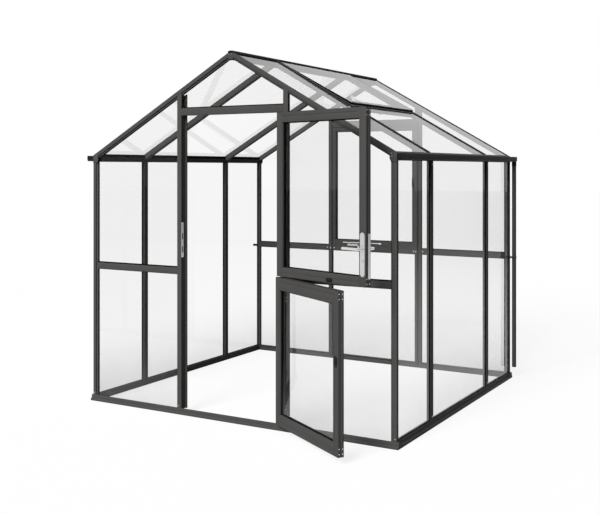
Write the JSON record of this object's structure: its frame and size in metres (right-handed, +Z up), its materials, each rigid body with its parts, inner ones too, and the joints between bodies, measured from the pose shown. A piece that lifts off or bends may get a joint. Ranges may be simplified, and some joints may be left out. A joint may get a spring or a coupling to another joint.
{
  "type": "small glass greenhouse with a two-part door",
  "caption": "Span-roofed glass greenhouse in a dark metal frame, with a two-part hinged door, side gutters, a downpipe, a roof vent and a back window.",
  "frame": {"origin": "on the underside of the front base rail, in the middle of the doorway, below the front faces of the posts", "axes": "+X to the right along the front, +Y to the back, +Z up"},
  "size_m": [2.4085, 2.6824, 2.38],
  "materials": {
    "frame": "satin powder coat",
    "glass": "clear",
    "steel": "brushed",
    "black": "fine matte"
  },
  "bodies": {
    "greenhouse": {"base_end_rails": "frame", "base_side_rails": "frame", "corner_posts": "frame", "door_posts": "frame", "back_posts": "frame", "side_wall_bars": "frame", "side_wall_caps": "frame", "headers": "frame", "front_mid_rails": "frame", "back_mid_rails": "frame", "eave_beams": "frame", "eave_strips": "frame", "eave_plates": "frame", "gutters": "frame", "downpipe": "frame", "downpipe_clip": "frame", "gable_rafters": "frame", "roof_bars": "frame", "roof_caps": "frame", "ridge_beam": "frame", "vent_trimmer": "frame", "vent_stiles": "frame", "vent_rails": "frame", "window_stiles": "frame", "window_rails": "frame", "door_hinge_pins": "frame", "vent_glass": "glass", "window_glass": "glass", "front_glass": "glass", "back_glass": "glass", "side_glass": "glass", "roof_glass": "glass", "vent_opener": "steel", "window_handle": "black", "strike_plate": "steel"},
    "upper_leaf": {"upper_leaf_stiles": "frame", "upper_leaf_rails": "frame", "upper_leaf_glass": "glass", "upper_leaf_hinges": "frame", "lock_plates": "steel"},
    "lever": {"lever_handle": "steel"},
    "lower_leaf": {"lower_leaf_stiles": "frame", "lower_leaf_rails": "frame", "lower_leaf_glass": "glass", "lower_leaf_hinges": "frame"}
  },
  "joints": [
    {"name": "upper_leaf_hinge", "type": "hinge", "parent": "greenhouse", "child": "upper_leaf", "pos_m": [0.3845, -0.007, 1.46], "axis": [0, 0, 1], "range_deg": [-161, 9]},
    {"name": "lower_leaf_hinge", "type": "hinge", "parent": "greenhouse", "child": "lower_leaf", "pos_m": [0.3845, -0.007, 0.5], "axis": [0, 0, 1], "range_deg": [-147, 20]},
    {"name": "lever_turn", "type": "hinge", "parent": "upper_leaf", "child": "lever", "pos_m": [1.07477, -0.27218, 1.176], "axis": [-0.3256, -0.9455, 0], "range_deg": [0, 40], "stiffness_Nm_per_rad": 2, "springref_deg": -20.05}
  ]
}
